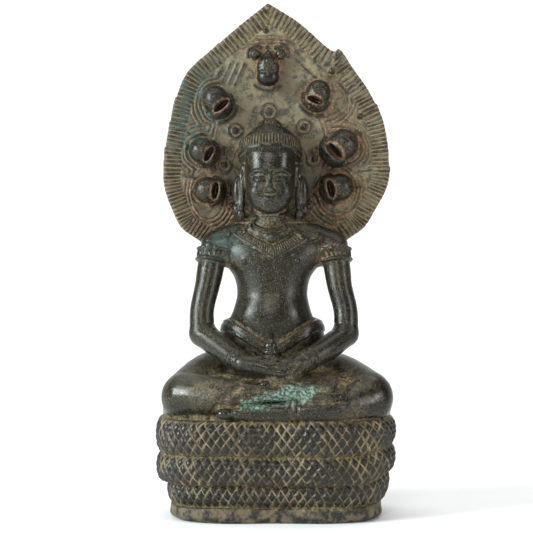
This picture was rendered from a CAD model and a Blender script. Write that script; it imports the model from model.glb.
import math

import bpy
import numpy as np
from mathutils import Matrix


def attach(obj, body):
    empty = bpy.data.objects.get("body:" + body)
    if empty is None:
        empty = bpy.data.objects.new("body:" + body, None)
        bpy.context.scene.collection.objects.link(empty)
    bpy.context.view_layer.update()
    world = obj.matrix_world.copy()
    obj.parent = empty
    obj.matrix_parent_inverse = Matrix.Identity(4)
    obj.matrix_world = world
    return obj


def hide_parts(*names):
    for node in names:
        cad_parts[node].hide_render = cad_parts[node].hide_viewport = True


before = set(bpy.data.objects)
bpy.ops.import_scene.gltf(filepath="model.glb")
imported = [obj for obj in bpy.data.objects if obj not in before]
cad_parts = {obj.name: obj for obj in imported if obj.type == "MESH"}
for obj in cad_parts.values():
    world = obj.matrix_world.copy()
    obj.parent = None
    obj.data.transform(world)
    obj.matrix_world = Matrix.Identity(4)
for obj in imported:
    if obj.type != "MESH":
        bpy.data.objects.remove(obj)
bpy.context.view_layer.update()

import openvdb
from mathutils import Matrix, Vector

STEP = 0.4  # side of a cell of the distance field
FAR = 2.4  # beyond this distance the field holds no more detail
TRIANGLES = 196000
MM = 0.001

# Coils, from the top one down, and the plain foot below them
COIL_HALF_WIDTH = 55.9
COIL_HALF_DEPTH = 36.1
COIL_HEIGHTS = [16, 13, 11]
COIL_INSETS = [0.0, 0.2, 3.4]
COIL_SHIFT = 1.1  # how far the lowest coil lies to the right
COIL_BULGE = 2.7
COIL_TAPER = 1.8
FRONT_DIP = 2.4
FRONT_DIP_WIDTH = 17
RIGHT_RISE = 4.7
RIGHT_RISE_WIDTH = 18
PLAN_POWER = 2.7
SCALE_WIDTH = 4.6
SCALE_HEIGHT = 6.1
SCALE_RISE = 0.78
SCALE_GROOVE = 0.45
FOOT_HEIGHT = 6
FOOT_INSET = 7.2
FOOT_REACH = 0.1
FOOT_POWER = 3.1
FOOT_ROUNDING = 2.6
SEAT = FOOT_HEIGHT + sum(COIL_HEIGHTS)
TOP = 240

# The hood
HOOD_HALF_WIDTH = 53.5
HOOD_HEIGHT = 124
HOOD_LOW = SEAT + 70
HOOD_FACE = 15
HOOD_CURL = 6
HOOD_NOD = 6
HOOD_THICKNESS = 5
RIM_WIDTH = 8
RIB_PITCH = 2.0
RIB_DEPTH = 0.95
STRAND_PITCH = 1.9
STRAND_DEPTH = 0.8
HOOD_LEFT = [
    (-0.07, 1), (-0.3, 0.925), (-0.56, 0.831), (-0.785, 0.742), (-0.895, 0.63), (-0.945, 0.532),
    (-0.99, 0.42), (-0.985, 0.3), (-0.905, 0.2), (-0.835, 0.145), (-0.725, 0.11), (-0.55, 0.06), (-0.28, 0),
]
HOOD_RIGHT = [
    (0.22, 0), (0.5, 0.06), (0.66, 0.108), (0.785, 0.148), (0.87, 0.205), (0.99, 0.31), (1.005, 0.42),
    (0.967, 0.53), (0.902, 0.605), (0.812, 0.68), (0.7, 0.745), (0.57, 0.815), (0.47, 0.832), (0.2, 0.93),
    (-0.07, 1),
]
HOOD_MIDDLE = (-0.02, 0.42)
# Lobes of the hood, one behind each head: x, z and half width and height of each
LOBES = [
    (-3.8, 204.7, 27.7, 20.0), (-28.6, 193.7, 12.4, 14.3), (21.9, 195.1, 17.2, 14.3),
    (-34.8, 170.3, 14.8, 13.4), (30.5, 172.2, 15.3, 13.4), (-32.4, 151.2, 14.3, 19.1),
    (29.6, 152.2, 15.3, 17.2), (-2.9, 171.3, 33.4, 35.8),
]
# Steps in the outline where one lobe ends and the next starts: x, z, size
NOTCHES = [
    (28.6, 217.6, 1.5), (46.5, 193.0, 0.8), (54.0, 163.0, 0.6), (-25.5, 221.5, 0.3), (-47.8, 196.5, 0.6),
    (-52.0, 185.0, 0.5), (-53.5, 173.0, 0.4), (-53.6, 159.5, 0.3),
]
# Heads: x, z, the way the mouth faces in degrees from down, and size
SERPENT_HEADS = [
    (-3.7, 209.6, 0, 0.98), (-27.9, 194.1, 40, 1.0), (19.7, 197.2, -22, 0.94), (-34.3, 170.4, 62, 0.93),
    (31.0, 173.0, -50, 1.12), (-31.7, 152.0, 82, 0.97), (29.2, 153.2, -78, 1.02),
]
MOUTH = 3.2  # how far below a head's middle its mouth lies
# Rosettes: x, z and radius
ROSETTES = [
    (-3.3, 189.8, 4.5), (-19.5, 180.7, 4.0), (13.4, 182.6, 4.1), (-24.7, 164.1, 3.8), (18.5, 167.1, 4.1),
    (-20.9, 145.1, 3.5), (16.0, 146.4, 3.5),
]
# Beads on the hood: x, z and radius
BEADS = [
    (-4.3, 220.0, 1.3), (-4.8, 227.2, 1.5), (-4.8, 236.6, 1.3), (28.2, 215.2, 1.9), (26.7, 208.5, 1.8),
    (40.1, 187.0, 1.7), (40.1, 178.9, 1.5), (39.6, 153.2, 1.4), (-42.9, 172.7, 1.5), (-39.1, 152.2, 1.5),
]

# Straight strands that fan out from the middle head, and creases that run inward from the steps of the rim
FAN = [
    ((-14.3, 213.6), (-20.3, 200.6)), ((-17.4, 213.6), (-23.1, 201.4)), ((-20.8, 213.2), (-26.0, 202.8)),
    ((-24.3, 211.6), (-28.5, 205.2)), ((3.6, 219.6), (21.5, 203.0)), ((7.6, 219.3), (23.6, 205.4)),
    ((12.7, 217.0), (25.0, 207.2)),
]
CREASES = [
    ((-51.5, 185.2), (-39.5, 177.8)), ((-53.6, 160.4), (-37.0, 157.4)), ((-47.5, 196.2), (-40.5, 196.0)),
    ((46.8, 193.2), (38.0, 186.0)), ((54.2, 162.6), (36.5, 160.4)), ((-21.4, 162.4), (-18.6, 159.4)),
    ((-20.2, 164.0), (-16.8, 160.6)),
]

FIGURE_X = -1.6
HEAD_X = -2.7


# Distance forms. Each is (low corner, high corner, distance of x, y, z).


def spline(stations, turns=4):
    """Points on a smooth path through the stations, and their sizes with them."""
    p = np.array(stations, float)
    if len(p) < 3:
        return p
    q = np.vstack([2 * p[0] - p[1], p, 2 * p[-1] - p[-2]])
    out = []
    for i in range(len(p) - 1):
        a, b, c, d = q[i : i + 4]
        for t in np.arange(turns) / turns:
            bend = (2 * a - 5 * b + 4 * c - d) * t * t + (3 * b - a - 3 * c + d) * t**3
            out.append(0.5 * (2 * b + (c - a) * t + bend))
    return np.array(out + [p[-1]])


def dot(a, b):
    return sum(p * q for p, q in zip(a, b))


def nearest_on(offsets, step):
    """The share of a segment at which its nearest point lies, and the squared distance to that point."""
    t = np.clip(dot(offsets, step) / max(dot(step, step), 1e-9), 0, 1)
    return t, sum((o - t * s) ** 2 for o, s in zip(offsets, step))


def round_axis(place, centre, axis):
    """Offsets from a centre, height along an axis through it, and distance from that axis."""
    own = [p - c for p, c in zip(place, centre)]
    h = dot(own, axis)
    return own, h, np.sqrt(np.maximum(dot(own, own) - h * h, 0))


def mirrored(half, index=0, middle=0.0):
    """Stations that go on past the last one as they came to it, mirrored in one of their numbers."""
    return half + [s[:index] + (2 * middle - s[index],) + s[index + 1 :] for s in half[-2::-1]]


def limb(stations, scale=(1, 1, 1)):
    """A round limb through stations x, y, z, radius, with its section widened by scale."""
    scale = np.array(scale, float)
    path = spline(stations)
    reach = path[:, 3:4] * scale
    low, high = (path[:, :3] - reach).min(0), (path[:, :3] + reach).max(0)
    path = np.hstack([path[:, :3] / scale, path[:, 3:4]])

    def distance(*place):
        nearest = np.inf
        for a, b in zip(path[:-1], path[1:]):
            t, gone = nearest_on([p / s - c for p, s, c in zip(place, scale, a)], (b - a)[:3])
            nearest = np.minimum(nearest, np.sqrt(gone) - (a[3] + t * (b - a)[3]))
        return nearest * scale.min()

    return low, high, distance


def ball(centre, radii, turn=np.eye(3)):
    """An ellipsoid. turn is a matrix whose rows are its own axes."""
    centre, radii = np.array(centre, float), np.array(radii, float)
    reach = np.sqrt(((turn * radii[:, None]) ** 2).sum(0))

    def distance(*place):
        own = [dot(row, [p - c for p, c in zip(place, centre)]) for row in turn]
        first = np.sqrt(sum((o / r) ** 2 for o, r in zip(own, radii)))
        second = np.sqrt(sum((o / r**2) ** 2 for o, r in zip(own, radii)))
        return first * (first - 1) / np.maximum(second, 1e-4)

    return centre - reach, centre + reach, distance


def lathe(profile, centre, axis=(0, 0, 1)):
    """A piece turned about an axis, from a closed outline of radius and height."""
    centre, outline = np.array(centre, float), np.array(profile, float)
    axis = np.array(axis, float) / np.linalg.norm(axis)
    reach = np.abs(outline).max() * 1.2

    def distance(*place):
        _, h, r = round_axis(place, centre, axis)
        return to_outline(r, h, outline, open_side=True)

    return centre - reach, centre + reach, distance


def to_outline(u, v, outline, open_side=False):
    """Signed distance in a plane to an outline. With open_side, the first and last points lie on an axis."""
    nearest, inside = np.inf, False
    for i, (a, b) in enumerate(zip(outline, np.roll(outline, -1, axis=0))):
        step = b - a
        if not (open_side and i == len(outline) - 1):
            nearest = np.minimum(nearest, nearest_on((u - a[0], v - a[1]), step)[1])
        if abs(step[1]) > 1e-9:
            inside = inside ^ (((a[1] > v) != (b[1] > v)) & (u < a[0] + (v - a[1]) * step[0] / step[1]))
    return np.where(inside, -1, 1) * np.sqrt(nearest)


def smooth_sections(sections):
    """Interpolates rows of sections by their first number, without overshoot."""
    rows = np.array(sections, float)
    z, values = rows[:, 0], rows[:, 1:]
    gap = np.diff(z)
    slope = np.diff(values, axis=0) / gap[:, None]
    tangent = np.vstack([slope[:1], (slope[1:] + slope[:-1]) / 2, slope[-1:]])
    tangent[1:-1][slope[1:] * slope[:-1] <= 0] = 0

    def at(height):
        height = np.clip(height, z[0], z[-1])
        i = np.clip(np.searchsorted(z, height, side="right") - 1, 0, len(z) - 2)
        t = ((height - z[i]) / gap[i])[..., None]
        g = gap[i][..., None]
        a, b, c, d = values[i], values[i + 1], tangent[i] * g, tangent[i + 1] * g
        return a + c * t + (3 * (b - a) - 2 * c - d) * t**2 + (2 * (a - b) + c + d) * t**3

    return at


def stack(sections, power=2.2):
    """A trunk of level sections: z, middle x, middle y, half width, half depth."""
    rows = np.array(sections, float)
    at = smooth_sections(sections)
    low = [(rows[:, 1] - rows[:, 3]).min(), (rows[:, 2] - rows[:, 4]).min(), rows[0, 0]]
    high = [(rows[:, 1] + rows[:, 3]).max(), (rows[:, 2] + rows[:, 4]).max(), rows[-1, 0]]

    def distance(x, y, z):
        cx, cy, rx, ry = np.moveaxis(at(z.astype(float)), -1, 0).astype(np.float32)
        u, v = np.abs(x - cx) / rx, np.abs(y - cy) / ry
        d = plan_distance(u, v, rx, ry, power)
        return np.maximum(d, np.maximum(rows[0, 0] - z, z - rows[-1, 0]))

    return low, high, distance


def plan_distance(u, v, rx, ry, power):
    """Distance to a curve between an ellipse and a rectangle, with u and v as shares of its radii."""
    u, v = np.maximum(u, 1e-3), np.maximum(v, 1e-3)
    f = (u**power + v**power) ** (1 / power)
    slope = f ** (1 - power) * np.sqrt((u ** (power - 1) / rx) ** 2 + (v ** (power - 1) / ry) ** 2)
    return (f - 1) / np.maximum(slope, 0.2 / np.minimum(rx, ry))


def soft_min(a, b, k):
    if k <= 0:
        return np.minimum(a, b)
    h = np.clip(0.5 + 0.5 * (b - a) / k, 0, 1)
    return b + (a - b) * h - k * h * (1 - h)


def ramp(value, low, high):
    t = np.clip((value - low) / (high - low), 0, 1)
    return t * t * (3 - 2 * t)


def bump(value, width):
    return np.exp(-((value / width) ** 2))


def waves(*phases):
    """Slow, seeded unevenness between -1 and 1 from places in millimetres."""
    turns = (np.sin(phase * (2 * math.pi / pitch) + 1.7 * i + 0.6) for i, (phase, pitch) in enumerate(phases))
    return sum(turns) / len(phases)


class Clay:
    """A distance field on a grid. Forms are joined to it, cut from it or embossed on it."""

    def __init__(self, low, high):
        self.axes = [np.arange(a, b, STEP, dtype=np.float32) for a, b in zip(low, high)]
        self.low = np.array([axis[0] for axis in self.axes])
        self.field = np.full([len(axis) for axis in self.axes], FAR, np.float32)
        self.origin = np.zeros(3)

    def window(self, low, high):
        """The part of the grid round a box, and the places there."""
        cut, places = [], []
        for axis, a, b, o in zip(self.axes, low, high, self.origin):
            first, last = np.searchsorted(axis, (a + o - FAR - 1, b + o + FAR + 1))
            cut.append(slice(first, last))
            places.append(axis[first:last] - np.float32(o))
        return tuple(cut), np.ix_(*places)

    def add(self, form, blend=0.0):
        low, high, distance = form
        cut, grid = self.window(low, high)
        self.field[cut] = soft_min(self.field[cut], distance(*grid).astype(np.float32), blend)

    def cut(self, form, blend=0.0):
        low, high, distance = form
        cut, grid = self.window(low, high)
        self.field[cut] = -soft_min(-self.field[cut], distance(*grid).astype(np.float32), blend)

    def limb(self, stations, blend, scale=(1, 1, 1)):
        self.add(limb(stations, scale), blend)

    def ball(self, centre, radii, blend, turn=np.eye(3)):
        self.add(ball(centre, radii, turn), blend)

    def dent(self, centre, radii, blend, turn=np.eye(3)):
        self.cut(ball(centre, radii, turn), blend)

    def emboss(self, low, high, relief):
        """Raises the surface by relief(x, y, z), or sinks it where that is negative."""
        cut, grid = self.window(low, high)
        self.field[cut] -= np.asarray(relief(*grid), np.float32)

    def front(self, x, z):
        """Where the surface lies in front, at a place x, z."""
        i = round(float((x + self.origin[0] - self.low[0]) / STEP))
        k = round(float((z + self.origin[2] - self.low[2]) / STEP))
        column = self.field[i, :, k]
        j = int(np.argmax(column < 0))
        share = column[j - 1] / max(column[j - 1] - column[j], 1e-6)
        return float(self.axes[1][j - 1] + share * STEP - self.origin[1])

    def trace(self, points, width, height, before_y):
        """Raises or sinks a line that is drawn on the front, through points x, z."""
        path = spline(points, 6)
        low = [path[:, 0].min(), -40, path[:, 1].min()]
        high = [path[:, 0].max(), before_y, path[:, 1].max()]

        def relief(x, y, z):
            gone = np.inf
            for a, b in zip(path[:-1], path[1:]):
                gone = np.minimum(gone, nearest_on((x - a[0], z - a[1]), b - a)[1])
            return height * np.exp(-gone / width**2) * (y < before_y)

        self.emboss(low, high, relief)


# Coils


def coil_plan(x, y, foot=False):
    """Distance to the coils' outline seen from above, and the way along it from the middle of the front."""
    front = ramp(-y, -4, 8)
    dipped = y - FRONT_DIP * np.exp(-((x / FRONT_DIP_WIDTH) ** 2)) * front
    if foot:
        dipped = np.where(dipped < 0, dipped / (1 + FOOT_REACH), dipped)
    u, v = np.abs(x) / COIL_HALF_WIDTH, np.abs(dipped) / COIL_HALF_DEPTH
    d = plan_distance(u, v, COIL_HALF_WIDTH, COIL_HALF_DEPTH, FOOT_POWER if foot else PLAN_POWER)
    angle = np.arctan2(v ** (PLAN_POWER / 2), u ** (PLAN_POWER / 2))
    quarter = np.linspace(0, math.pi / 2, 200)
    px = COIL_HALF_WIDTH * np.cos(quarter) ** (2 / PLAN_POWER)
    py = COIL_HALF_DEPTH * np.sin(quarter) ** (2 / PLAN_POWER)
    run = np.concatenate([[0], np.cumsum(np.hypot(np.diff(px), np.diff(py)))])
    way = run[-1] - np.interp(angle, quarter, run)
    way = np.where(dipped < 0, way, 2 * run[-1] - way)
    return d, way * np.sign(x + 1e-6)


def coil_height(x, z):
    """Height as if the coils lay level: the grooves climb at the right end."""
    climb = ramp(x, COIL_HALF_WIDTH - RIGHT_RISE_WIDTH, COIL_HALF_WIDTH)
    up = np.clip(z / SEAT, 0, 1)
    level = z - RIGHT_RISE * climb * 4 * up * (1 - up)
    return level + 0.35 * waves((x, 61.0), (x, 37.0)) * ramp(z, 2, 8) * ramp(SEAT - z, -1, 6)


def scale_cells(way, level):
    """Places in the diamond lattice of the scales, in cells. Lines between scales run at whole numbers."""
    drift = way + 0.5 * waves((way, 41.0), (way, 23.0), (way + level, 17.0))
    lift = level + 0.35 * waves((way, 19.0), (way, 31.0))
    return drift / SCALE_WIDTH + lift / SCALE_HEIGHT, drift / SCALE_WIDTH - lift / SCALE_HEIGHT


def scale_relief(way, level):
    a, b = scale_cells(way, level)
    da, db = np.abs(a - np.round(a)), np.abs(b - np.round(b))
    edge = np.minimum(da, db)
    pillow = 1 - (1 - np.minimum(edge * 2, 1)) ** 2
    return SCALE_RISE * (pillow - 0.6) - SCALE_GROOVE * np.exp(-((edge / 0.075) ** 2))


def coils(clay):
    low, high = [-COIL_HALF_WIDTH, -COIL_HALF_DEPTH - 1, -1], [COIL_HALF_WIDTH, COIL_HALF_DEPTH, SEAT]

    def distance(x, y, z):
        plan, way = coil_plan(x, y)
        level = coil_height(x, z)
        inset = np.full(level.shape, 50.0, np.float32)
        shifted = coil_plan(x - COIL_SHIFT, y)[0]
        plan = np.where(level < FOOT_HEIGHT + COIL_HEIGHTS[-1], shifted, plan)
        top = SEAT
        for i, height in enumerate(COIL_HEIGHTS):
            t = (level - (top - height / 2)) / (height / 2)
            roll = COIL_INSETS[i] + COIL_BULGE * (1 - np.sqrt(np.clip(1 - t * t, 0, 1)))
            if i == len(COIL_HEIGHTS) - 1:
                roll = roll + COIL_TAPER * np.clip(0.5 - t / 2, 0, 1)
            inset = np.where(np.abs(t) <= 1, roll, inset)
            top -= height
        inset = np.where(level > SEAT, COIL_INSETS[0] + COIL_BULGE, inset)
        d = plan + inset - scale_relief(way, level) * ramp(level, top - 0.2, top + 0.8)
        d = np.maximum(d, np.maximum(top - level, level - SEAT))
        foot, run = coil_plan(x, y, foot=True)
        striae = 0.12 * waves((run, 2.3), (run, 1.7), (run, 4.1))
        swell = 0.5 * bump(z - 2.6, 2.4)
        rounding = FOOT_ROUNDING * ramp(np.abs(x), 12, 46) + 0.6
        edge = rounding * np.clip(1 - z / 2.6, 0, 1) ** 2
        foot = np.maximum(foot + FOOT_INSET - swell - striae + edge, level - top - 0.6)
        return soft_min(np.maximum(d, -z), np.maximum(foot, -z), 0.8)

    clay.add((low, high, distance))
    # A casting pit under the lowest coil
    clay.dent((5.5, -33.8, 6.4), (5.8, 1.6, 2.2), 0.6)


# The figure, with its heights above the seat


TORSO = [
    (14, -2, 7, 19.5, 15.5), (42, -2, 6, 20.5, 16), (50, -1.8, 5, 18, 14.2), (57, -1.65, 5, 16.6, 13.8),
    (65, -1.6, 5, 18.2, 13.8), (71, -1.5, 5, 22.5, 13.8), (77, -1, 5.5, 26, 13.5), (82, -0.8, 6, 27, 12),
    (86, -1, 6.5, 23, 10.5), (90, -1.5, 6.5, 15.5, 9), (93, -2, 6.5, 10, 8),
]


def torso(clay):
    clay.add(stack(TORSO, 1.85), 1.5)
    clay.limb([(HEAD_X, 5, 86, 11.2), (HEAD_X, 4, 92, 9.8), (HEAD_X, 3.5, 98, 8.8)], 2)
    clay.limb([(-27, 5.5, 79.5, 7.4), (-14, 6, 84, 7.6), (10, 6, 84.4, 7.6), (25.6, 5.5, 79.5, 7.4)], 3)
    clay.ball((-2, -3.8, 47), (13, 6, 9), 4)  # belly

    def modelling(x, y, z):
        hollow = bump(x + 1.6, 3.0) * ramp(z, 48, 58) * ramp(78 - z, 0, 8)
        return -0.6 * hollow * ramp(-y, 0, 4)

    clay.emboss([-26, -16, 40], [24, 0, 84], modelling)
    clay.dent((-2.2, -11.6, 42.4), (1.2, 1.4, 0.9), 0.8)  # navel
    for x, z in ((-14.4, 71.8), (9.9, 72.4)):
        clay.ball((x, clay.front(x, z), z), (1.35, 1.1, 1.35), 0.5)
    for z in (90.6, 92.4, 94.2):  # folds of the neck
        clay.emboss(
            [HEAD_X - 8, -10, z - 2], [HEAD_X + 8, 3, z + 2],
            lambda x, y, h, z=z: 0.4 * bump(h - z - 0.012 * (x - HEAD_X) ** 2, 0.5) * ramp(-y, -3, 0)
            * ramp(8.2 - np.abs(x - HEAD_X), 0, 1),
        )


def skirt(clay):
    hip_x, hip_y = -1.5, 7
    hips = [(6, 31, 20), (22, 27.5, 19), (34, 25.2, 18.2), (40, 24, 17.8), (43, 23, 17.4), (47, 20.4, 16.4)]

    def top_line(x, y):
        drop = 13.8 * np.clip(1 - np.sqrt((x - hip_x) ** 2 + 6) / 21.5, 0, 1)
        return 45.6 - drop * ramp(-y, -7, -1) - 1.2 * ramp(np.abs(x - hip_x), 19, 24)

    low, high, inner = stack([(z, hip_x, hip_y, rx, ry) for z, rx, ry in hips])
    outer = stack([(z, hip_x, hip_y, rx + 1.0, ry + 1.0) for z, rx, ry in hips])[2]
    clay.add((low, high, lambda x, y, z: np.maximum(inner(x, y, z), z - top_line(x, y) + 1)), 1.2)

    def belt(x, y, z):
        edge = np.maximum(z - top_line(x, y), top_line(x, y) - 5.2 - z)
        return -soft_min(-outer(x, y, z), -edge, 0.7)

    clay.add((low, high, belt), 0.3)

    def seams(x, y, z):
        above = z - top_line(x, y)
        return -0.3 * bump(above + 1.1, 0.4) - 0.25 * bump(above + 4.2, 0.4)

    clay.emboss(low, [high[0], 5, high[2]], seams)


def legs(clay):
    base = [(-3, 0.4, 1, 52.8, 30), (8, 0.4, 1, 53.6, 29), (15, 0, 2, 48, 26), (19.5, 0, 4, 40, 21)]
    clay.add(stack(base, 2.6))
    clay.limb([(-17, 13, 18.5, 14.7), (-30, 1, 15.2, 14.3), (-41, -12.5, 9.6, 11.9)], 2.4)
    clay.limb([(17, 13, 18, 14.1), (30, 1, 14.9, 13.4), (41.6, -12.5, 9.4, 12.4)], 2.4)
    clay.ball((-1.5, -11, 13), (32, 17, 9.0), 3)
    upper_shin = [(-41, -15, 10.5, 10.5), (-24, -25, 11, 8.5), (-6, -28.6, 12.4, 4.9), (7, -28.6, 13.0, 4.4)]
    lower_shin = [
        (42.4, -15, 8, 10.8), (26, -27, 6, 7.8), (10.6, -30.3, 4.8, 5.2), (4.6, -30.6, 4.3, 4.8),
        (-12, -31, 3.9, 4.4),
    ]
    clay.limb(upper_shin, 0.8)
    clay.limb(lower_shin, 0.8)
    clay.ball((9, -27.5, 9), (8, 4, 3.4), 1.2)
    clay.dent((22, -34.4, 17.5), (11, 4, 4.4), 1.0)
    # Upper foot: the sole, the big toe in front and the other toes above it
    clay.limb([(6, -28, 13.4, 4.2), (15, -28.4, 13.4, 3.8), (21, -28.4, 13.4, 3.4)], 0.7, (1, 1.1, 0.95))
    clay.limb([(13, -31.0, 11.2, 2.0), (20, -32.0, 11.3, 2.3), (27.6, -32.2, 11.2, 2.3)], 0.3)
    for i in range(4):
        x, z = 21.6 + 0.7 * i, 13.6 + 1.15 * i
        clay.limb([(x - 2.4, -30.4 + 0.8 * i, z - 0.4, 1.3), (x + 3.6, -30.2 + 0.8 * i, z + 1.0, 1.2)], 0.15)
    # Lower foot, with the toes drawn together in a knob
    clay.limb([(-11, -31, 3.8, 4.0), (-18, -31, 3.5, 3.2)], 0.7, (1, 1.1, 0.95))
    clay.ball((-23.4, -31.2, 3.5), (3.7, 3.4, 2.7), 0.5)
    clay.trace([(-20.4, 5.6), (-19.6, 3.4), (-20.2, 0.8)], 0.5, -0.5, -18)
    # Hems at the ankles, the lines under the feet, and creases
    for x in (6.6, 9.2):
        clay.trace([(x, 9.4), (x + 0.2, 5), (x + 0.4, 0.4)], 0.7, -1.1, -18)
    clay.trace([(9.6, 8.6), (18, 8.3), (26, 8.4), (31, 9.6)], 0.8, -1.0, -18)
    clay.trace([(-19, 7.0), (-8, 8.3), (4, 8.5)], 0.8, -0.9, -18)
    clay.trace([(-30, 0.6), (-28.6, 5.0), (-25, 7.4), (-19, 7.0)], 0.9, -1.1, -14)
    clay.trace([(-26, 8.6), (-20, 12.0), (-15, 15.6)], 1.4, -0.8, -14)
    clay.trace([(27.4, 19.0), (31.2, 14.4), (31.4, 9.6)], 1.1, -1.1, -18)


def armlet(clay, top, low, side):
    """Two ridges with a ribbed band between, and a pointed crest on the front."""
    axis = (top - low) / np.linalg.norm(top - low)
    middle = (top + low) / 2 + axis * 3.9
    across = np.cross(axis, (0, 1, 0))
    across /= np.linalg.norm(across)
    fore = np.cross(axis, across)

    def relief(*place):
        own, h, radius = round_axis(place, middle, axis)
        band = ramp(h, -3.6, -3.1) * ramp(3.4 - h, 0, 0.5)
        ridges = bump(h + 2.6, 0.6) + bump(h - 2.5, 0.6)
        ribs = np.cos(np.arctan2(dot(own, fore), dot(own, across)) * 22) * bump(h, 1.5)
        return (0.8 * band + 0.7 * ridges + 0.3 * ribs * band) * (radius < 10)

    clay.emboss(middle - 9, middle + 9, relief)
    for dx, dz, r in ((1.4, 4.6, 2.3), (1.8, 7.2, 1.5), (-1.7, 3.9, 1.5), (4.3, 3.7, 1.4), (-3.8, 3.2, 1.0)):
        x, z = middle[0] + side * dx, middle[2] + dz
        clay.ball((x, clay.front(x, z) + 0.4, z), (r * 0.8, 1.2, r), 0.6)


def bracelet(clay, hand, forearm):
    """Three beaded rows round a wrist."""
    axis = (hand - forearm) / np.linalg.norm(hand - forearm)

    def relief(*place):
        own, h, radius = round_axis(place, forearm + axis * 1.2, axis)
        beads = 0.7 + 0.3 * np.cos(np.arctan2(own[2], own[0] - h * axis[0]) * 20)
        rows = bump(h - 2.0, 0.6) + bump(h + 2.0, 0.6) + bump(h, 0.8) * beads
        return (0.35 * ramp(h, -3, -2.6) * ramp(3 - h, 0, 0.4) + 0.5 * rows) * (radius < 7.5)

    clay.emboss(forearm - 6, forearm + 6, relief)


def arms(clay):
    upper = {
        -1: [
            (-28.2, 5, 79.5, 6.9), (-29.6, 4, 75.5, 6.5), (-31.2, 1.6, 66, 6.2), (-32.3, 0, 60, 5.8),
            (-34.6, -2, 49, 5.6),
        ],
        1: [
            (27, 5, 79.5, 6.9), (27.9, 4, 75.5, 6.5), (29.2, 1.6, 66, 6.2), (30, 0, 60, 5.8),
            (32.6, -2, 49, 5.6),
        ],
    }
    elbow = {-1: (-34.2, -4, 38.5, 6), 1: (32.6, -4, 38.4, 5.8)}
    lower = {
        -1: [(-34.2, -4, 38.5, 6.1), (-25, -13, 32, 5.6), (-18, -21, 27.4, 4.7), (-15, -24, 25.8, 4.4)],
        1: [(32.6, -4, 38.4, 5.8), (23, -14, 31.5, 5.6), (14.6, -21, 27.4, 4.7), (11, -24, 25.8, 4.4)],
    }
    for side in (-1, 1):
        clay.limb(upper[side] + [elbow[side]], 1.8)
        clay.limb(lower[side], 1.4)
        armlet(clay, *(np.array(station[:3]) for station in upper[side][1:3]), side)
        bracelet(clay, np.array(lower[side][3][:3]), np.array(lower[side][2][:3]))


def hands(clay):
    clay.limb([(-15, -24.2, 25.6, 4.3), (-9, -26.2, 24.8, 4.2), (-3.4, -27.2, 23.4, 3.6)], 0.9)
    clay.limb([(10, -24.6, 24, 4.2), (6.4, -25.6, 20.6, 4.0), (2.4, -26.6, 17.8, 3.4)], 0.9)
    for i in range(4):
        y, z = -28.4 + 0.55 * i * i * 0.5, 25.4 - 1.75 * i
        finger = [(-4.4, y + 1.2, z - 0.4, 1.35), (0.4, y, z, 1.3), (5.4 - 0.5 * i, y + 0.7, z - 0.6, 1.15)]
        clay.limb(finger, 0.22)
        y, z = -28.8 + 0.3 * i, 19.0 - 1.5 * i
        finger = [(4.6, y + 1.4, z + 0.4, 1.3), (-0.6, y, z, 1.2), (-6.6 + 0.8 * i, y + 0.8, z - 0.7, 1.05)]
        clay.limb(finger, 0.22)
    clay.limb([(-10.5, -26.6, 27.6, 1.6), (-7.2, -27.6, 28.0, 1.45), (-4.6, -26.6, 27.2, 1.1)], 0.4)
    clay.limb([(8.6, -25.6, 26.0, 1.7), (5.2, -27.2, 26.8, 1.5), (2.0, -26.8, 26.6, 1.15)], 0.4)
    clay.limb([(9.4, -26.4, 23.6, 1.5), (6.4, -28.2, 23.6, 1.3), (4.4, -28.2, 24.6, 1.1)], 0.3)
    clay.ball((-12.4, -29.6, 15.4), (2.6, 2.2, 1.9), 0.4)
    clay.ball((-5.2, -30.4, 16.6), (2.3, 1.9, 1.7), 0.4)
    clay.ball((1.8, -29.2, 22.0), (4.5, 2.0, 2.3), 0.3)
    jar = [
        (0, -4), (3.6, -4), (4.6, 0.4), (4.5, 2.6), (3.2, 4.0), (3.9, 4.7), (3.9, 6.0), (2.6, 6.5),
        (3.2, 7.6), (3.0, 9.2), (1.9, 10.6), (0.8, 11.5), (0, 11.8),
    ]
    clay.add(lathe(jar, (-2.6, -22.5, 25.5)), 0.25)


def collar_place(x, z):
    """Where a place on the chest lies on the collar: across it from -1 to 1, and up it from edge to neck."""
    u = (x + 0.6) / 19.5
    t = np.zeros_like(u * z)
    for _ in range(6):
        reach = np.minimum(np.abs(u), 1.5)
        edge, neck = 73.6 + 11.6 * reach, 87.2 + 3 * reach**2
        t = np.clip((z - edge) / (neck - edge), -0.5, 1.5)
        u = np.clip((x + 0.6 + 2.1 * t) / (19.5 - 10.5 * t), -1.6, 1.6)
    return u, t


def collar(clay):
    def relief(x, y, z):
        u, t = collar_place(x, z)
        ribs = np.cos(u * 17 * 2 * math.pi)
        outer = ramp(t, 0, 0.05) * ramp(0.44 - t, 0, 0.04)
        plain = ramp(t, 0.46, 0.5) * ramp(0.84 - t, 0, 0.05)
        inner = ramp(t, 0.84, 0.88) * ramp(1.05 - t, 0, 0.06)
        lift = outer * (1.25 + 0.38 * ribs * ramp(t, 0.05, 0.1) * ramp(0.38 - t, 0, 0.05))
        lift = lift + plain * (0.6 + 0.6 * t)
        lift = lift + inner * (1.35 + 0.3 * np.cos(u * 13 * 2 * math.pi))
        lift = lift - 0.25 * bump(t - 0.1, 0.02)
        return lift * ramp(21.5 - np.abs(x + 1.2), 0, 0.8) * ramp(-y, -12, -8)

    clay.emboss([-24, -14, 70], [22, 8, 95], relief)
    pendant = [(0, -2), (2.7, -2), (2.7, 0.1), (1.9, 0.7), (1.3, 0.5), (0, 1.8)]
    clay.add(lathe(pendant, (-2.1, -8.0, 83.6), (0, -1, 0.4)), 0.3)


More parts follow.
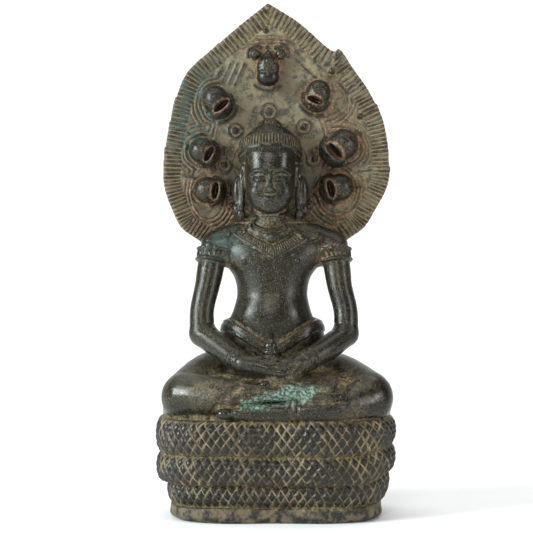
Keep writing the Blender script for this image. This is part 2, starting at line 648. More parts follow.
def ribbed_turn(clay, centre, axis, low, high, radius, count, depth):
    """Cuts ribs round a turned piece between two heights along its axis."""
    centre, axis = np.array(centre, float), np.array(axis, float)
    side = (1.0, 0.0, 0.0)
    fore = np.cross(axis, side)

    def relief(*place):
        own, h, _ = round_axis(place, centre, axis)
        groove = np.abs(np.cos(np.arctan2(dot(own, fore), dot(own, side)) * count / 2)) ** 6
        return -depth * groove * ramp(h, low, low + 0.4) * ramp(high - h, 0, 0.4)

    middle = centre + axis * (low + high) / 2
    clay.emboss(middle - radius - 2, middle + radius + 2, relief)


CROWN_LEAN = math.radians(16)
CROWN_CENTRE = (HEAD_X, 1.5, 110)
CROWN_RIBS = 62
CHIN = 94.3
THIRD = 9.23
EYE = 4.6


def head(clay):
    x, brow, nose = HEAD_X, CHIN + 2 * THIRD, CHIN + THIRD
    eyes = brow - 3.0
    skull = [
        (0.3, -5.5, 3.6, 4.2), (2, -4.5, 6.6, 6.8), (5.5, -2.6, 9.4, 9.2), (11, -0.8, 11.2, 11.0),
        (17.5, 0, 11.8, 11.8), (27.7, 0.6, 11.8, 12), (34.7, 2, 9.5, 9.5),
    ]
    clay.add(stack([(CHIN + z, x, y, rx, ry) for z, y, rx, ry in skull], 2.3), 0.8)
    upper_lid = [
        (2.2, -11.4, -0.5, 0.25), (3.4, -12.1, -0.15, 0.42), (5.4, -12.1, -0.15, 0.42),
        (7.5, -10.6, -0.4, 0.28),
    ]
    fold = [(2.4, -11.6, 0.9, 0.22), (4.6, -11.9, 1.75, 0.3), (7.2, -10.4, 1.0, 0.22)]
    arch = [(1.7, -12.0, 0.3, 0.6), (4.4, -11.9, 1.25, 0.7), (7.2, -10.6, 1.0, 0.6), (9.6, -8.3, -0.4, 0.4)]
    ear = [(12.2, 1, 21.2, 2.7), (12.9, 1.2, 17, 2.5), (13.1, 1, 11, 2.0), (13.4, 0.5, 4, 2.3)]
    for side in (-1, 1):
        def at(dx, y, z, *radius):
            return (x + side * dx, y, z, *radius)

        def cord(stations, level, blend, scale=(1, 1, 1)):
            clay.limb([at(dx, y, level + z, r) for dx, y, z, r in stations], blend, scale)

        clay.ball(at(5.6, -9.0, nose + 0.8), (3.8, 2.9, 4.2), 2.0)  # cheek
        clay.dent(at(4.8, -13.9, eyes + 0.5), (3.9, 2.3, 2.5), 1.6)  # socket
        clay.ball(at(EYE + 0.1, -10.3, eyes - 0.1), (2.8, 1.9, 1.6), 0.5)
        cord(upper_lid, eyes, 0.35)
        cord(fold, eyes, 0.5)
        cord(arch, brow, 1.3)
        clay.ball(at(1.6, -12.9, nose + 1.0), (1.25, 1.5, 1.0), 0.5)  # nostril
        cord(ear, CHIN, 0.7, (0.72, 1.0, 1.0))
        clay.dent(at(14.2, -1.2, CHIN + 18.4), (1.3, 1.5, 3.0), 0.6)
        clay.dent(at(14.6, -1.0, CHIN + 7.0), (1.2, 1.0, 3.6), 0.5)
        clay.ball(at(13.6, 0, CHIN + 0.2), (2.1, 2.2, 2.7), 0.3)
        clay.ball(at(15.4, 3.4, CHIN + 10.4), (2.6, 3.4, 8.0), 0.8)
        clay.ball(at(15.6, 2.6, CHIN + 2.4), (2.4, 3.0, 3.2), 0.4)
    bridge = [(x, -11.8, brow - 0.6, 1.0), (x, -12.9, nose + 4.6, 1.15), (x, -13.9, nose + 1.8, 1.6)]
    clay.limb(bridge, 0.8)
    clay.ball((x, -13.8, nose + 1.4), (1.6, 1.6, 1.3), 0.5)
    clay.ball((x, -9.8, nose - 3.4), (5.2, 2.9, 3.4), 2.0)
    # The lips, and the line between them
    upper_lip = [
        (x - 4.0, -11.2, nose - 2.9, 0.35), (x - 1.7, -12.4, nose - 2.35, 0.75),
        (x, -12.6, nose - 2.75, 0.62),
    ]
    lower_lip = [(x - 3.4, -11.3, nose - 3.5, 0.35), (x, -12.2, nose - 4.3, 1.0)]
    parting = [
        (x - 4.3, -11.7, nose - 3.1, 0.25), (x - 2, -13.2, nose - 3.2, 0.3), (x, -13.4, nose - 3.5, 0.3),
    ]
    clay.limb(mirrored(upper_lip, 0, x), 0.35)
    clay.limb(mirrored(lower_lip, 0, x), 0.5)
    clay.cut(limb(mirrored(parting, 0, x)), 0.25)
    clay.ball((x, -9.0, CHIN + 2.0), (3.6, 2.8, 2.3), 1.6)
    clay.ball((x, -11.7, brow + 4), (0.9, 0.9, 1.3), 0.3)


def crown(clay):
    axis = (0, math.sin(CROWN_LEAN), math.cos(CROWN_LEAN))
    profile = [
        (0, 7), (12.4, 7), (13.6, 8.4), (14.5, 9.6), (14.5, 10.6), (13.8, 11.2), (14.6, 11.8), (15.2, 12.4),
        (15.5, 13.4), (14.6, 18.6), (13.9, 19.5), (12.2, 19.9), (12, 21.6), (10.3, 22.0), (10, 23.6),
        (8.3, 24.0), (8, 25.4), (6.3, 26.0), (5.7, 28.2), (3.6, 30.2), (0, 31.2),
    ]
    clay.add(lathe(profile, CROWN_CENTRE, axis), 0.3)
    rings = [(13.0, 19.4, 16, CROWN_RIBS, 0.7), (8.6, 11.0, 16, CROWN_RIBS, 0.22)]
    for low, count in ((20.0, 44), (22.1, 36), (24.1, 28), (26.0, 20)):
        rings.append((low, low + 1.6, 13, count, 0.4))
    for ring in rings:
        ribbed_turn(clay, CROWN_CENTRE, axis, *ring)


# The hood


def hood_outline():
    """The outline as points x, z, from the tip down the left, across below and up the right."""
    runs = [np.array(HOOD_LEFT), np.array([HOOD_LEFT[-1]] + HOOD_RIGHT)]
    points = np.vstack([spline(run, 12)[:-1] for run in runs])
    return points * (HOOD_HALF_WIDTH, HOOD_HEIGHT) + (0, HOOD_LOW)


OUTLINE = hood_outline()
LENGTHS = np.hypot(*(np.roll(OUTLINE, -1, axis=0) - OUTLINE).T)
STARTS = np.cumsum(LENGTHS) - LENGTHS
OUTLINE_LENGTH = LENGTHS.sum()


def hood_place(x, z):
    """How far inside the outline a place lies, and the way along the outline to the nearest point of it."""
    x, z = np.broadcast_arrays(x, z)
    nearest, way, shift = np.full(x.shape, 1e9), np.zeros(x.shape), np.zeros(x.shape)
    for a, b, start, length in zip(OUTLINE, np.roll(OUTLINE, -1, axis=0), STARTS, LENGTHS):
        t, gone = nearest_on((x - a[0], z - a[1]), b - a)
        way = np.where(gone < nearest, start + t * length, way)
        nearest = np.minimum(gone, nearest)
    for nx, nz, size in NOTCHES:
        here = STARTS[np.argmin(np.hypot(OUTLINE[:, 0] - nx, OUTLINE[:, 1] - nz))]
        past = way - here if nx < 0 else here - way  # how far below the step
        shift += size * np.exp(-np.maximum(past, 0) / 8.0) * ramp(past, -0.3, 0.9)
    return shift - to_outline(x, z, OUTLINE), way


def hood_face(x, z):
    across = (x - HOOD_MIDDLE[0] * HOOD_HALF_WIDTH) / HOOD_HALF_WIDTH
    up = (z - HOOD_LOW - HOOD_MIDDLE[1] * HOOD_HEIGHT) / HOOD_HEIGHT
    reach = np.minimum(1, across**2 + 3 * up**2)
    return HOOD_FACE - HOOD_CURL * reach - HOOD_NOD * np.maximum(0, up) ** 2 / 0.34


def lobe_depth(x, z):
    """How far inside the joined outline of the lobes a place lies."""
    depth = 1e3
    for cx, cz, rx, rz in LOBES:
        depth = soft_min(depth, plan_distance(np.abs(x - cx) / rx, np.abs(z - cz) / rz, rx, rz, 2.0), 1.0)
    return -depth


def arc(x, z, centre, radius, middle, spread, width):
    """A line along part of a circle, that fades out at its ends. Angles are in degrees from +x."""
    dx, dz = x - centre[0], z - centre[1]
    turned = (np.degrees(np.arctan2(dz, dx)) - middle + 180) % 360 - 180
    return bump(np.hypot(dx, dz) - radius, width) * ramp(spread - np.abs(turned), 0, 12)


def stroke(x, z, ends, width, taper=2.0):
    """A straight line that fades out at its ends, and the distance across it."""
    (ax, az), (bx, bz) = ends
    length = math.hypot(bx - ax, bz - az)
    along = ((x - ax) * (bx - ax) + (z - az) * (bz - az)) / length
    across = ((z - az) * (bx - ax) - (x - ax) * (bz - az)) / length
    return bump(across, width) * ramp(along, -0.5, taper) * ramp(length - along, -0.5, taper), across


def rib_phase(way):
    """Counts the grooves between the rim's ribs, which were cut by hand and so aren't quite even."""
    finer = 0.06 * OUTLINE_LENGTH / (2 * math.pi) * np.sin(2 * math.pi * way / OUTLINE_LENGTH)
    return way / RIB_PITCH - finer + 0.16 * waves((way, 37.0), (way, 23.0), (way, 11.0))


def strands(x, z, inward):
    """Counts the grooves between the strands that follow each lobe inside the rim, and where they lie."""
    depth = lobe_depth(x, z) + 0.3 * waves((x, 13.0), (z, 17.0), (x - z, 9.0))
    widest = 7.2 - 2.4 * ramp(z, 200, 206)
    zone = ramp(inward, RIM_WIDTH, RIM_WIDTH + 0.8) * ramp(widest - depth, 0, 0.8) * ramp(depth, -1.4, -0.6)
    for ends in CREASES + FAN:
        zone = zone * (1 - stroke(x, z, ends, 2.6)[0])
    return depth / STRAND_PITCH, zone


def hood_relief(x, z, inward, way):
    phase = rib_phase(way)
    off = np.abs(phase - np.round(phase)) * RIB_PITCH  # from the middle of the nearest groove
    on_rim = ramp(RIM_WIDTH - inward + 0.4 * waves((way, 9.0), (way, 5.3)), 0, 0.7)
    round_top = 0.22 * (1 - (1 - np.clip(off / (RIB_PITCH / 2), 0, 1)) ** 2)
    relief = on_rim * (0.3 + round_top - RIB_DEPTH * bump(off, 0.46) * ramp(inward, -0.2, 0.8))
    phase, zone = strands(x, z, inward)
    relief += zone * (1 - on_rim) * STRAND_DEPTH * (np.abs(np.sin(math.pi * phase)) ** 0.7 - 0.45)
    relief -= 0.35 * bump(inward - RIM_WIDTH - 0.3, 0.5)
    for cx, cz, turn, size in SERPENT_HEADS:
        down = np.radians(turn)
        way_down = math.degrees(math.atan2(-math.cos(down), math.sin(down)))
        relief += 1.1 * arc(x, z, (cx, cz), 10.2 * size, way_down, 50, 1.0)
        relief += 0.5 * arc(x, z, (cx, cz), 9.4 * size, way_down + 180, 70, 0.6)
    for ends in FAN:
        relief += (1.3 * stroke(x, z, ends, 1.15)[0] - 0.5 * stroke(x, z, ends, 2.2)[0]) * (1 - on_rim)
    for ends in CREASES:
        line, across = stroke(x, z, ends, 0.9)
        broad = stroke(x, z, ends, 2.2)[0]
        relief += 1.1 * line - 0.9 * bump(across - 1.6, 0.8) * line.clip(0, 1) - 0.5 * broad
    for cx, cz, radius in ROSETTES:
        r = np.hypot(x - cx, z - cz)
        inside = ramp(radius + 0.8 - r, 0, 0.5)
        relief = relief * (1 - inside) + 1.0 * bump(r - radius * 0.82, 0.85)
        relief += 1.5 * ramp(radius * 0.42 - r, -0.5, 0.5)
    for cx, cz, radius in BEADS:
        r = np.hypot(x - cx, z - cz)
        relief += np.sqrt(np.maximum(radius**2 - r**2, 0)) + 0.3 * bump(r - radius - 0.8, 0.5)
    return relief + 0.1 * waves((x, 23.0), (z, 19.0), (x + z, 31.0))


def hood(clay):
    low = [-HOOD_HALF_WIDTH - 2, -4, HOOD_LOW - 2]
    high = [HOOD_HALF_WIDTH + 2, HOOD_FACE + HOOD_THICKNESS + 4, TOP]

    def distance(x, y, z):
        inward, way = hood_place(x, z)
        face = hood_face(x, z)
        relief = hood_relief(x, z, inward, way)
        round_over = 1.6 * (1 - np.sqrt(1 - (1 - np.clip(inward / 1.6, 0, 1)) ** 2))
        front = face - relief + round_over
        back = face + 3.6 + 1.6 * ramp(inward, 0, 10) - round_over
        back = back + 0.3 * bump(inward - RIM_WIDTH, 0.8)
        plate = np.maximum(front - y, y - back)
        outside = np.sqrt(np.minimum(inward, 0) ** 2 + (y - face - 1.8) ** 2)
        return np.where(inward > 0, plate, np.maximum(outside, -inward))

    clay.add((low, high, distance), 0.0)
    for index, (x, z, turn, size) in enumerate(SERPENT_HEADS):
        serpent_head(clay, x, z, turn, size, index)


def serpent_head(clay, x, z, turn, size, index):
    """A head that bulges from the hood: eyes and ridges above an open mouth, with a jaw below it."""
    angle = math.radians(turn)
    down, side, out = axes = np.array([
        (math.sin(angle), 0, -math.cos(angle)), (math.cos(angle), 0, math.sin(angle)), (0, -1, 0),
    ])
    root = np.array((x, float(hood_face(np.float64(x), np.float64(z))), z))

    def at(u, v, w):
        return root + size * (u * down + v * side + w * out)

    def lump(place, radii, blend=0.5):
        clay.ball(at(*place), np.array(radii) * size, blend * size, axes)

    def cord(places, radius, blend=0.3):
        clay.limb([(*at(*p), radius * size) for p in places], blend * size)

    def bow(half, radius, blend=0.3):
        """A cord across the head, from its left half."""
        cord(mirrored(half, 1), radius, blend)

    if index == 0:  # the middle head: a beaded snout, two eyes under arched brows and a heavy jaw
        for place, radii, blend in (
            ((-0.6, 0, 2.2), (6.0, 5.6, 6.0), 1.0), ((-1.0, 0, 4.8), (4.4, 4.7, 3.4), 0.8),
            ((-6.0, 0, 2.6), (3.0, 2.3, 2.8), 0.4), ((4.2, 0, 3.4), (4.5, 5.5, 4.8), 0.6),
        ):
            lump(place, radii, blend)
        for u in (-3.4, -1.2, 1.0):
            for v in (-3.6, -1.8, 0, 1.8, 3.6):
                lump((u, v, 7.9 - 0.12 * v * v), (0.95, 0.9, 0.8), 0.2)
        for u, w in ((2.5, 7.6), (3.5, 7.9)):
            bow([(u + 0.6, -5.0, w - 3.4), (u, -2.8, w - 0.8), (u, 0, w)], 0.42, 0.2)
        for v in (-1, 1):
            lump((-7.2, 6.2 * v, 1.8), (2.7, 2.7, 2.6), 0.3)
            brow = [(-6.0, 9.8, 1.9), (-9.0, 9.6, 2.7), (-11.2, 6.6, 3.3), (-10.0, 3.4, 2.9)]
            cord([(u, across * v, w) for u, across, w in brow], 0.85, 0.5)
        return
    # A dome with faint strands or ridges, a lens of a mouth between two lips, and the jaw's crescent
    ridged = index == 4
    mouth = MOUTH + 1.0 if ridged else MOUTH
    lump((-1.0, 0, 2.6), (6.9, 6.5, 6.8), 1.0)
    for v in () if ridged else (-4.4, -2.2, 0, 2.2, 4.4):
        sunk = v * v * 0.17
        cord([(-1.0, v, 9.2 - sunk), (-4.2, v * 0.9, 8.2 - sunk), (-6.8, v * 0.7, 5.6 - v * v * 0.14)], 0.5)
    for u in (-5.4, -3.5, -1.6, 0.3) if ridged else ():
        w = 9.3 - 0.11 * (u + 1) ** 2
        bow([(u + 0.8, -5.2, w - 4.6), (u, -3.0, w - 1.4), (u - 0.2, 0, w - 0.2)], 0.62, 0.25)
    lump((mouth + 0.6, 0, 2.6), (5.0, 6.4, 5.4), 0.8)
    clay.dent(at(mouth, 0, 8.6), np.array((1.7, 4.7, 4.6)) * size, 0.4, axes)
    for high, sunk, radius in ((-1.9, 0, 0.62), (1.9, 1.2, 0.7)):
        half = [(0, -5.5, 4.2), (high, -2.9, 7.5), (high * 1.15, 0, 8.7)]
        bow([(mouth + u, v, w - sunk) for u, v, w in half], radius)
    bow([(mouth - 1.2, -6.6, 1.6), (mouth + 2.6, -4.8, 3.2), (mouth + 4.4, 0, 4.4)], 1.3, 0.5)


def trunk(clay):
    """The serpent's body behind the figure, between the coils and the hood."""
    back = 20.4
    wide, deep = 13.5, 9

    def up(share):
        return HOOD_LOW + share * HOOD_HEIGHT

    # Height, and shares of the width, the step back and the share of the depth there
    sections = [
        (SEAT - 3, 1.9, 3, 1.25), (SEAT + 12, 1.5, 2, 1.15), (SEAT + 30, 1, 0, 1),
        (HOOD_LOW - 6, 1, 0, 0.95), (up(0.14), 1.4, 0, 0.7), (up(0.4), 1.1, 0, 0.5),
        (up(0.68), 0.6, -2.6, 0.3), (up(0.76), 0.2, -4.4, 0.2),
    ]
    clay.add(stack([(h, FIGURE_X, back + y, wide * rx, deep * ry) for h, rx, y, ry in sections], 2.4), 1.2)

    def relief(x, y, h):
        scales = scale_relief(x - FIGURE_X, h)
        return 0.8 * scales * ramp(y, 22, 25) * ramp(h, SEAT + 2, SEAT + 10) * ramp(up(0.5) - h, 0, 20)

    clay.emboss([-24, 18, SEAT], [22, 34, up(0.6)], relief)


reach = np.array((COIL_HALF_WIDTH + 3, COIL_HALF_DEPTH + 3))
clay = Clay((*-reach, -2.0), (*reach, TOP + 2))
hood(clay)
trunk(clay)
clay.origin = np.array((0, 0, float(SEAT)))
for part in (torso, arms, collar, skirt, head, crown, legs, hands):
    part(clay)
clay.origin = np.zeros(3)
coils(clay)
cut, grid = clay.window([-60, -40, -5], [60, 40, 5])
clay.field[cut] = np.maximum(clay.field[cut], -grid[2])  # the flat underside


# From the field to a mesh


def sample(values, points, step, low):
    """Values of a grid at places, in between its cells."""
    q = (points - low) / step
    i = np.clip(q.astype(int), 0, np.array(values.shape) - 2)
    f = np.clip(q - i, 0, 1)
    total = 0
    for corner in np.ndindex(2, 2, 2):
        weight = np.abs(1 - np.array(corner) - f).prod(1)
        total = total + weight * values[tuple((i + corner).T)]
    return total


def mesh_of(clay, name):
    grid = openvdb.FloatGrid(FAR)
    grid.copyFromArray(clay.field)
    points, quads = grid.convertToQuads(0.0)
    corners = np.asarray(quads, np.int32).ravel()
    mesh = bpy.data.meshes.new(name)
    mesh.vertices.add(len(points))
    mesh.vertices.foreach_set("co", (points.astype(np.float64) * STEP + clay.low).ravel())
    mesh.loops.add(len(corners))
    mesh.loops.foreach_set("vertex_index", corners)
    mesh.polygons.add(len(quads))
    mesh.polygons.foreach_set("loop_start", np.arange(0, len(corners), 4, dtype=np.int32))
    mesh.update(calc_edges=True)
    return mesh


def thinned(mesh, triangles):
    """The same mesh with fewer triangles. More of them are kept where the surface curves."""
    whole = bpy.data.objects.new("whole", mesh)
    bpy.context.scene.collection.objects.link(whole)
    modifier = whole.modifiers.new("thin", "DECIMATE")
    modifier.ratio = triangles / (2 * len(mesh.polygons))
    modifier.use_collapse_triangulate = True
    result = bpy.data.meshes.new_from_object(whole.evaluated_get(bpy.context.evaluated_depsgraph_get()))
    bpy.data.objects.remove(whole)
    bpy.data.meshes.remove(mesh)
    return result


def blurred(values, reach, times=2):
    """A box blur over reach cells each way."""
    for axis in range(3):
        cells = np.arange(values.shape[axis])
        ends = [np.clip(cells + step, 0, len(cells)) for step in (reach + 1, -reach)]
        for _ in range(times):
            summed = np.cumsum(values, axis, dtype=np.float32)
            padded = np.concatenate([np.zeros_like(values.take([0], axis)), summed], axis)
            values = (padded.take(ends[0], axis) - padded.take(ends[1], axis)) / (2 * reach + 1)
    return values


def hollows(clay, points, reaches):
    """How much metal lies round each point: half on a flat place, more in a hollow and less on an edge."""
    fill = np.clip(0.5 - clay.field / (2 * STEP), 0, 1)
    n = [s // 2 * 2 for s in fill.shape]
    fill = fill[: n[0], : n[1], : n[2]]
    fill = fill.reshape(n[0] // 2, 2, n[1] // 2, 2, n[2] // 2, 2).mean((1, 3, 5))
    cells = [max(1, round(reach / (2 * STEP))) for reach in reaches]
    return [sample(blurred(fill, cell), points, 2 * STEP, clay.low + STEP / 2) for cell in cells]


statue = thinned(mesh_of(clay, "casting"), TRIANGLES)
count = len(statue.vertices)
places = np.empty(count * 3, np.float32)
statue.vertices.foreach_get("co", places)
places = places.reshape(-1, 3).astype(np.float64)
normals = np.empty_like(places)
for k, offset in enumerate(0.6 * STEP * np.eye(3)):
    ahead, behind = (sample(clay.field, places + way * offset, STEP, clay.low) for way in (1, -1))
    normals[:, k] = ahead - behind
normals /= np.maximum(np.linalg.norm(normals, axis=1), 1e-6)[:, None]
fine, wide, broad = hollows(clay, places, (0.8, 2.4, 6.0))


# What the bronze material needs to know at each point

px, py, pz = places.T
figure_z = pz - SEAT


def patches(*rows, hood=False):
    """Soft patches from strength, x, z, half width and half height. On the hood z starts at the ground."""
    height = pz if hood else figure_z
    total = 0
    for strength, x, z, rx, rz in rows:
        total = total + strength * np.exp(-(((px - x) / rx) ** 2 + ((height - z) / rz) ** 2))
    return total * (py > 6 if hood else py < 6)


coil_depth, coil_way = coil_plan(px, py)
coil_level = coil_height(px, pz)
on_coils = ramp(pz, FOOT_HEIGHT - 0.3, FOOT_HEIGHT + 0.8) * ramp(SEAT + 0.8 - coil_level, 0, 0.8)
on_coils = on_coils * ramp(coil_depth + 8, 0, 2)
roll, top = np.zeros(count), SEAT  # roll runs from -1 to 1 up each coil
for height in COIL_HEIGHTS:
    t = (coil_level - (top - height / 2)) / (height / 2)
    roll = np.where(np.abs(t) <= 1, t, roll)
    top -= height

inward, hood_way = hood_place(px, pz)
behind = hood_face(px, pz) + 2.2 - py  # positive on the hood's face
on_rim = ramp(RIM_WIDTH + 0.3 - inward, 0, 0.6) * ramp(behind, 0, 0.6) * ramp(3.6 - behind, 0, 0.8)
on_rim = on_rim * (inward > -1.5)
on_hood = ramp(pz, HOOD_LOW, HOOD_LOW + 6) * ramp(py, 0, 3)
strand_phase, strand_zone = strands(px, pz, inward)

collar_u, collar_t = collar_place(px, figure_z)
on_collar = ramp(collar_t, 0.04, 0.1) * ramp(0.42 - collar_t, 0, 0.05) * (py < 3) * (np.abs(px + 1.2) < 21)
crown_y, crown_up = py - CROWN_CENTRE[1], figure_z - CROWN_CENTRE[2]
crown_z = crown_up * math.cos(CROWN_LEAN) + crown_y * math.sin(CROWN_LEAN)
crown_angle = np.arctan2(crown_y * math.cos(CROWN_LEAN) - crown_up * math.sin(CROWN_LEAN), px - HEAD_X)
on_crown = ramp(crown_z, 13.0, 13.6) * ramp(19.0 - crown_z, 0, 0.6) * (np.hypot(px - HEAD_X, crown_y) < 17)

mouths, lips = np.zeros(count), np.zeros(count)
for x, z, turn, size in SERPENT_HEADS[1:]:
    down = math.radians(turn)
    u = ((px - x) * math.sin(down) - (pz - z) * math.cos(down)) / size - MOUTH
    v = ((px - x) * math.cos(down) + (pz - z) * math.sin(down)) / size
    lens = 1 - np.clip(v / 5.4, -1, 1) ** 2
    mouths += bump(u, 1.7 * lens + 0.1) * (np.abs(v) < 5.0)
    lips += (bump(u + 2.1 * lens, 0.45) + bump(u - 2.0 * lens, 0.5)) * (np.abs(v) < 5.2)
x, z, _, size = SERPENT_HEADS[0]
mouths += bump(px - x, 5.0) * bump(pz - z + 6.0 * size, 2.6)
raised = py < hood_face(px, pz) - 2.4

head_dust = patches(*((0.7, x, z - SEAT, 6, 6) for x, z, _, _ in SERPENT_HEADS))
head_warmth = patches(*((1, x, z, 11, 11) for x, z, _, _ in SERPENT_HEADS), hood=True)
rosette_warmth = patches(*((0.7, x, z, 7, 7) for x, z, _ in ROSETTES), hood=True)
attributes = {
    "hollow_fine": fine,
    "hollow_wide": wide,
    "hollow_broad": broad,
    "scale_way": np.abs(coil_way),
    "scale_level": coil_level,
    "seams": ramp(np.abs(roll), 0.8, 0.97) * on_coils,
    "underside": ramp(-roll, -0.1, 0.9) * on_coils,
    "topside": ramp(roll, -0.1, 0.7) * on_coils,
    "rib_way": rib_phase(hood_way),
    "strand_way": strand_phase,
    "cut_way": np.where(on_crown > 0, crown_angle * CROWN_RIBS / (2 * math.pi), collar_u * 17 + 0.5),
    "on_coils": on_coils,
    "on_strands": strand_zone * ramp(behind, 0.6, 1.2) * ramp(3.9 - behind, 0, 0.8) * (1 - on_rim),
    "on_field": on_hood * ramp(3.4 - behind, 0, 0.8) * ramp(behind, 0, 0.6) * (1 - on_rim),
    "on_rim": on_rim,
    "on_cuts": np.maximum(on_collar * (1 - on_crown), on_crown),
    "on_hood": on_hood,
    "on_foot": ramp(FOOT_HEIGHT + 1.2 - pz, 0, 1.2),
    "mouths": mouths * raised,
    "lips": lips * raised,
    "verdigris": (py < -18) * patches(
        (1, -3, 9.6, 14, 3.6), (0.8, -13, 8.0, 5, 2.6), (1, 11, 14, 10, 4.5), (0.5, 4, 11, 12, 5),
    ),
    "teal": patches((0.6, -25, 82, 8, 8), (0.7, -25, 79, 8, 6))
    + patches((1, -42, 185, 14, 22), (0.5, -30, 205, 14, 12), (0.35, 0, 185, 45, 30), hood=True),
    "tarnish": patches(
        (1, -22, 151, 10, 14), (1, 18, 151, 11, 14), (0.6, -37, 138, 9, 10), (0.5, -40, 170, 8, 14),
        (0.6, 30, 160, 9, 9), (0.5, -34, 200, 9, 9), hood=True,
    ),
    "dusted": head_dust + patches(
        (1.8, -25, 14, 17, 8), (1, 22, 20, 16, 8), (1, 2, 11, 22, 6), (0.9, 36, 4, 10, 3),
        (1, HEAD_X, 90, 15, 4), (0.8, HEAD_X - 15, 100, 4, 9), (0.8, HEAD_X + 15, 100, 4, 9),
        (0.9, -2, 29, 17, 6), (0.5, -2, 16, 14, 5), (1.2, 26, 16, 9, 4), (1.2, 8, 4, 3, 6),
        (0.8, -21.5, 71, 3.5, 3), (0.8, 20.5, 71, 3, 3), (0.4, 42, 9, 8, 7),
    ),
    "handled": np.clip(patches(
        (1, -2.6, 32, 4.5, 6), (1, 1.8, 22, 5, 2.6), (1, -7, 23, 4, 3), (1, -5.2, 16.6, 2.6, 2),
        (1, 26, 11, 5, 2.6), (1, -23.4, 3.5, 4, 3), (1, -43, 9, 8, 9), (1, 45, 7, 8, 9),
        (0.3, HEAD_X, 122, 15, 14),
    ), 0, 1),
    "rust": (0.9 - 0.5 * on_rim) * on_hood
    + patches((0.8, 22, 74, 8, 8), (0.6, -24, 68, 7, 6), (0.4, -24, 36, 9, 6)),
    "warm": np.clip(0.12 + 0.7 * (head_warmth + rosette_warmth), 0, 1),
}
for name, values in attributes.items():
    statue.attributes.new(name, "FLOAT", "POINT").data.foreach_set("value", values.astype(np.float32))

statue.transform(Matrix.Scale(MM, 4))
statue.shade_smooth()
statue.normals_split_custom_set_from_vertices(normals.astype(np.float32).tolist())
piece = bpy.data.objects.new("naga_buddha_casting", statue)
bpy.context.scene.collection.objects.link(piece)


# Materials


class Value:
    """A number that a node gives out. Arithmetic with it adds the nodes for it."""

    def __init__(self, tree, socket):
        self.tree, self.socket = tree, socket

    def __add__(self, other):
        return self.tree.math("ADD", self, other)

    def __sub__(self, other):
        return self.tree.math("SUBTRACT", self, other)

    def __rsub__(self, other):
        return self.tree.math("SUBTRACT", other, self)

    def __mul__(self, other):
        return self.tree.math("MULTIPLY", self, other)

    def __truediv__(self, other):
        return self.tree.math("DIVIDE", self, other)

    def clamped(self):
        self.socket.node.use_clamp = True
        return self

    def span(self, low, high, to_low=0.0, to_high=1.0):
        sockets = {"Value": self, 1: low, 2: high, 3: to_low, 4: to_high}
        node = self.tree.node("ShaderNodeMapRange", sockets, interpolation_type="SMOOTHSTEP")
        return Value(self.tree, node.outputs[0])


def most(first, *others):
    for other in others:
        first = first.tree.math("MAXIMUM", first, other)
    return first


class Tree:
    """Builds a material's nodes. A socket takes a number, a colour or another node's output."""

    def __init__(self, name):
        self.material = bpy.data.materials.new(name)
        self.material.use_nodes = True
        self.tree = self.material.node_tree
        self.tree.nodes.clear()
        self.place = self.node("ShaderNodeTexCoord", {}).outputs["Object"]

    def node(self, kind, sockets, **settings):
        node = self.tree.nodes.new(kind)
        for key, value in settings.items():
            setattr(node, key, value)
        for key, value in sockets.items():
            value = getattr(value, "socket", value)
            if isinstance(value, bpy.types.NodeSocket):
                self.tree.links.new(value, node.inputs[key])
            else:
                node.inputs[key].default_value = (*value, 1) if isinstance(value, tuple) else value
        return node

    def math(self, operation, a, b=0.0):
        return Value(self, self.node("ShaderNodeMath", {0: a, 1: b, 2: 0.0}, operation=operation).outputs[0])

    def attribute(self, name):
        settings = {"attribute_name": name, "attribute_type": "GEOMETRY"}
        return Value(self, self.node("ShaderNodeAttribute", {}, **settings).outputs["Fac"])

    def noise(self, scale, detail=4.0, roughness=0.6):
        sockets = {"Vector": self.place, "Scale": scale, "Detail": detail, "Roughness": roughness}
        return Value(self, self.node("ShaderNodeTexNoise", sockets).outputs["Fac"])

    def mix(self, factor, a, b):
        return self.node("ShaderNodeMix", {0: factor, 6: a, 7: b}, data_type="RGBA").outputs[2]

    def coats(self, base, *layers):
        """Lays colours over a base one after another, each where its factor says."""
        for factor, colour in layers:
            base = self.mix(factor, base, colour)
        return base

    def lines(self, phase, width):
        """One in a line that runs wherever the phase is a whole number, and nought away from it."""
        off = self.math("ABSOLUTE", self.math("FRACT", phase + 100.5) - 0.5)
        return off.span(width, width * 0.35)

    def finish(self, strength, distance, height, **sockets):
        """The surface itself, with a fine bump over it."""
        bump = self.node("ShaderNodeBump", {"Strength": strength, "Distance": distance, "Height": height})
        shader = self.node("ShaderNodeBsdfPrincipled", {**sockets, "Normal": bump.outputs[0]})
        self.node("ShaderNodeOutputMaterial", {"Surface": shader.outputs[0]})
        return self.material


